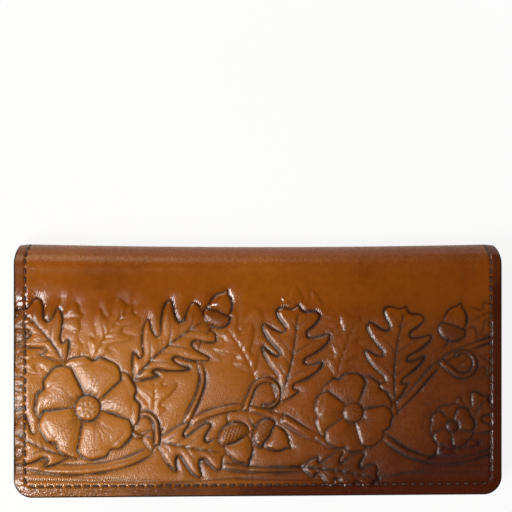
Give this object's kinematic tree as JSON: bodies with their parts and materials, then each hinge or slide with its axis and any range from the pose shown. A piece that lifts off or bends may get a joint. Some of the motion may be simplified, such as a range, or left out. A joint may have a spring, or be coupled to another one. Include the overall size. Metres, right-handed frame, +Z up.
{
  "type": "checkbook cover",
  "caption": "Tooled leather checkbook cover that folds along its long edge, with stitched rims, inner pockets, card slots, a card window, a clear divider leaf and a pen loop.",
  "frame": {"origin": "middle of the closed cover's underside box: half-way along its length and depth, at the height of the surface it lies on", "axes": "+X along the fold, to the right when the tooled front is seen with the fold away from the viewer; +Y towards the fold; +Z up, out of the tooled front of the closed cover"},
  "size_m": [0.1714, 0.0886, 0.017],
  "materials": {
    "outer_leather": "tooled, antiqued tan leather with a waxed gloss",
    "pocket_leather": "smooth brown leather, satin",
    "lining_leather": "thin dark brown lining leather, matt",
    "clear_vinyl": "clear, glossy, flexible sheet"
  },
  "bodies": {
    "rear_half": {"rear_cover": "outer_leather", "rear_lining": "lining_leather", "check_pocket": "pocket_leather", "divider_strip": "pocket_leather"},
    "fold_1": {"fold_leather_1": "outer_leather", "fold_lining_1": "lining_leather"},
    "fold_2": {"fold_leather_2": "outer_leather", "fold_lining_2": "lining_leather"},
    "fold_3": {"fold_leather_3": "outer_leather", "fold_lining_3": "lining_leather"},
    "fold_4": {"fold_leather_4": "outer_leather", "fold_lining_4": "lining_leather"},
    "fold_5": {"fold_leather_5": "outer_leather", "fold_lining_5": "lining_leather"},
    "front_half": {"front_cover": "outer_leather", "front_lining": "lining_leather", "register_pocket": "pocket_leather", "card_slot_1": "pocket_leather", "card_slot_2": "pocket_leather", "window_frame": "pocket_leather", "window_sheet": "clear_vinyl", "pen_loop": "pocket_leather"},
    "divider_leaf": {"divider_leaf": "clear_vinyl"}
  },
  "joints": [
    {"name": "lower_fold_opens", "type": "hinge", "parent": "rear_half", "child": "fold_3", "pos_m": [0, 0.04211, 0.00173], "axis": [-1, 0, 0], "range_deg": [0, 90]},
    {"name": "upper_fold_opens", "type": "hinge", "parent": "fold_3", "child": "front_half", "pos_m": [0, 0.04211, 0.01527], "axis": [-1, 0, 0], "range_deg": [0, 90]},
    {"name": "fold_1_turns", "type": "hinge", "parent": "rear_half", "child": "fold_1", "pos_m": [0, 0.03575, 0], "axis": [-1, 0, 0], "range_deg": [0, 18]},
    {"name": "fold_2_turns", "type": "hinge", "parent": "fold_1", "child": "fold_2", "pos_m": [0, 0.04075, 0.00162], "axis": [-1, 0, 0], "range_deg": [0, 36]},
    {"name": "fold_5_turns", "type": "hinge", "parent": "front_half", "child": "fold_5", "pos_m": [0, 0.03575, 0.017], "axis": [1, 0, 0], "range_deg": [0, 18]},
    {"name": "fold_4_turns", "type": "hinge", "parent": "fold_5", "child": "fold_4", "pos_m": [0, 0.04075, 0.01538], "axis": [1, 0, 0], "range_deg": [0, 36]},
    {"name": "divider_leaf_turns", "type": "hinge", "parent": "rear_half", "child": "divider_leaf", "pos_m": [0, 0.02455, 0.0046], "axis": [-1, 0, 0], "range_deg": [0, 90]}
  ],
  "couplings": [
    {"joint": "fold_1_turns", "follows": "lower_fold_opens", "ratio": 0.2},
    {"joint": "fold_2_turns", "follows": "lower_fold_opens", "ratio": 0.4},
    {"joint": "fold_5_turns", "follows": "upper_fold_opens", "ratio": 0.2},
    {"joint": "fold_4_turns", "follows": "upper_fold_opens", "ratio": 0.4},
    {"joint": "divider_leaf_turns", "follows": "lower_fold_opens", "ratio": 1}
  ]
}
